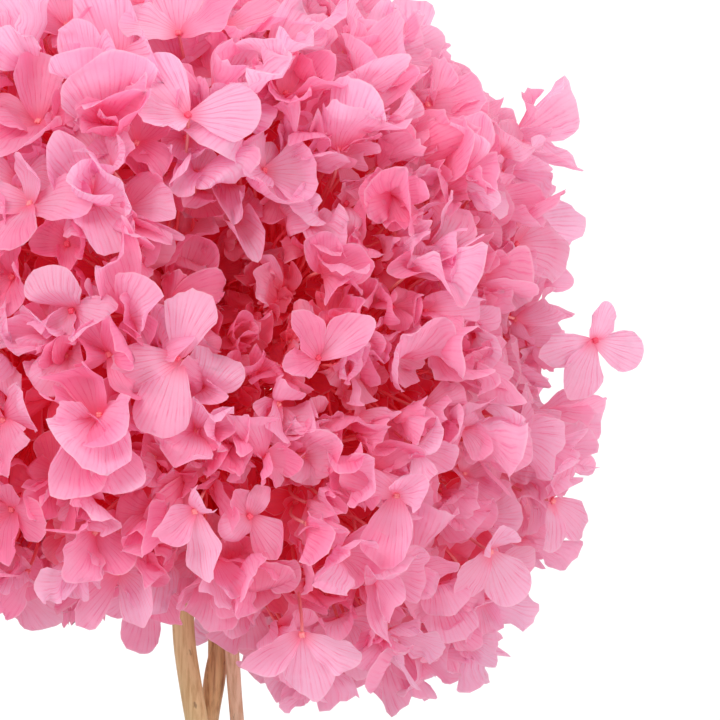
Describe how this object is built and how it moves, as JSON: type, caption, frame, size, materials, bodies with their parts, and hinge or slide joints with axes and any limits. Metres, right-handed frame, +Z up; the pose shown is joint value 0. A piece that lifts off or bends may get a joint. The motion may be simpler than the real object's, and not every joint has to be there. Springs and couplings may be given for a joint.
{
  "type": "bunch of dried mophead hydrangeas in a glass jar",
  "caption": "Full round bunch of preserved pink mophead hydrangea on bare cut stems, standing in a plain clear glass jar with a narrow neck.",
  "frame": {"origin": "middle of the jar's flat underside", "axes": "+Z up through the jar's mouth; +X to the right and -Y towards the viewer, with the flower head leaning towards -X"},
  "size_m": [0.2522, 0.2422, 0.3715],
  "materials": {
    "petals_light": "satin",
    "petals_mid": "satin",
    "petals_deep": "satin",
    "ochre_bark": "matte",
    "tan_bark": "matte",
    "salmon_bark": "matte",
    "jar_glass": "gloss"
  },
  "bodies": {
    "root": {"floret_cluster_01": "petals_light", "floret_cluster_02": "petals_mid", "floret_cluster_03": "petals_deep", "floret_cluster_04": "petals_light", "floret_cluster_05": "petals_mid", "floret_cluster_06": "petals_deep", "floret_cluster_07": "petals_light", "floret_cluster_08": "petals_mid", "floret_cluster_09": "petals_deep", "floret_cluster_10": "petals_light", "floret_cluster_11": "petals_mid", "floret_cluster_12": "petals_deep", "floret_cluster_13": "petals_light", "floret_cluster_14": "petals_mid", "floret_cluster_15": "petals_deep", "floret_cluster_16": "petals_light", "floret_cluster_17": "petals_mid", "floret_cluster_18": "petals_deep", "floret_cluster_19": "petals_light", "floret_cluster_20": "petals_mid", "floret_cluster_21": "petals_deep", "floret_cluster_22": "petals_light", "floret_cluster_23": "petals_mid", "floret_cluster_24": "petals_deep", "floret_cluster_25": "petals_light", "floret_cluster_26": "petals_mid", "floret_cluster_27": "petals_deep", "floret_cluster_28": "petals_light", "floret_cluster_29": "petals_mid", "floret_cluster_30": "petals_deep", "floret_cluster_31": "petals_light", "floret_cluster_32": "petals_mid", "floret_cluster_33": "petals_deep", "floret_cluster_34": "petals_light", "floret_cluster_35": "petals_mid", "floret_cluster_36": "petals_deep", "floret_cluster_37": "petals_light", "floret_cluster_38": "petals_mid", "glass_jar": "jar_glass", "stem_forked": "tan_bark", "stem_left": "ochre_bark", "stem_right": "salmon_bark"}
  },
  "joints": []
}
